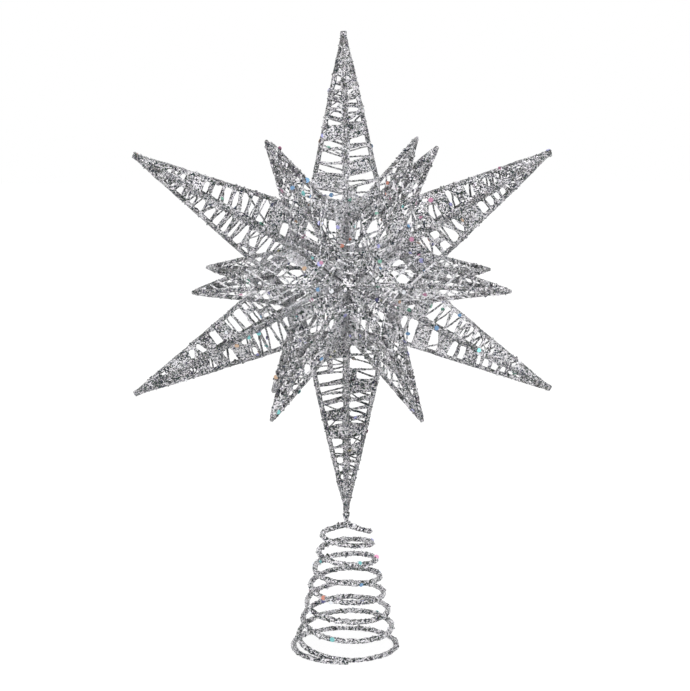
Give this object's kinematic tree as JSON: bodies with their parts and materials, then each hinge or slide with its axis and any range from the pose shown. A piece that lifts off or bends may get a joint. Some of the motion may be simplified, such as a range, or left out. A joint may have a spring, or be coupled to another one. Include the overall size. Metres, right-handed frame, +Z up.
{
  "type": "starburst tree topper",
  "caption": "Glittered starburst tree topper: thread-wound wire pyramids joined round a hollow core, standing on a conical coil spring that slips over the tree's top shoot.",
  "frame": {"origin": "on the floor below the middle of the star", "axes": "+Z up along the star's long points, +X to the right in the picture, +Y away from the camera; the star stands in the XZ plane"},
  "size_m": [0.2004, 0.0982, 0.298],
  "materials": {
    "glitter_wire": "steel wire with a coat of fine silver glitter",
    "glitter_thread": "thread stiffened with glue and fine silver glitter",
    "spring_wire": "spring wire with a coat of fine silver glitter",
    "solder": "solder lump under the glitter"
  },
  "bodies": {
    "base": {"base_spring": "spring_wire"},
    "neck": {"solder_neck": "solder"},
    "star": {"large_frame_12": "glitter_wire", "large_frame_2": "glitter_wire", "large_frame_4": "glitter_wire", "large_frame_6": "glitter_wire", "large_frame_8": "glitter_wire", "large_frame_10": "glitter_wire", "front_frame_1": "glitter_wire", "front_frame_3": "glitter_wire", "front_frame_5": "glitter_wire", "front_frame_7": "glitter_wire", "front_frame_9": "glitter_wire", "front_frame_11": "glitter_wire", "back_frame_1": "glitter_wire", "back_frame_3": "glitter_wire", "back_frame_5": "glitter_wire", "back_frame_7": "glitter_wire", "back_frame_9": "glitter_wire", "back_frame_11": "glitter_wire", "large_winding_12": "glitter_thread", "large_winding_2": "glitter_thread", "large_winding_4": "glitter_thread", "large_winding_6": "glitter_thread", "large_winding_8": "glitter_thread", "large_winding_10": "glitter_thread", "front_winding_1": "glitter_thread", "front_winding_3": "glitter_thread", "front_winding_5": "glitter_thread", "front_winding_7": "glitter_thread", "front_winding_9": "glitter_thread", "front_winding_11": "glitter_thread", "back_winding_1": "glitter_thread", "back_winding_3": "glitter_thread", "back_winding_5": "glitter_thread", "back_winding_7": "glitter_thread", "back_winding_9": "glitter_thread", "back_winding_11": "glitter_thread"}
  },
  "joints": [
    {"name": "spring_press", "type": "slide", "parent": "base", "child": "neck", "axis": [0, 0, 1], "range_m": [-0.025, 0.01], "stiffness_N_per_m": 400, "springref_m": 0.002, "deforming": ["base_spring"]},
    {"name": "star_nod", "type": "hinge", "parent": "neck", "child": "star", "pos_m": [0, 0, 0.06473], "axis": [1, 0, 0], "range_deg": [-12, 12], "stiffness_Nm_per_rad": 0.4}
  ]
}
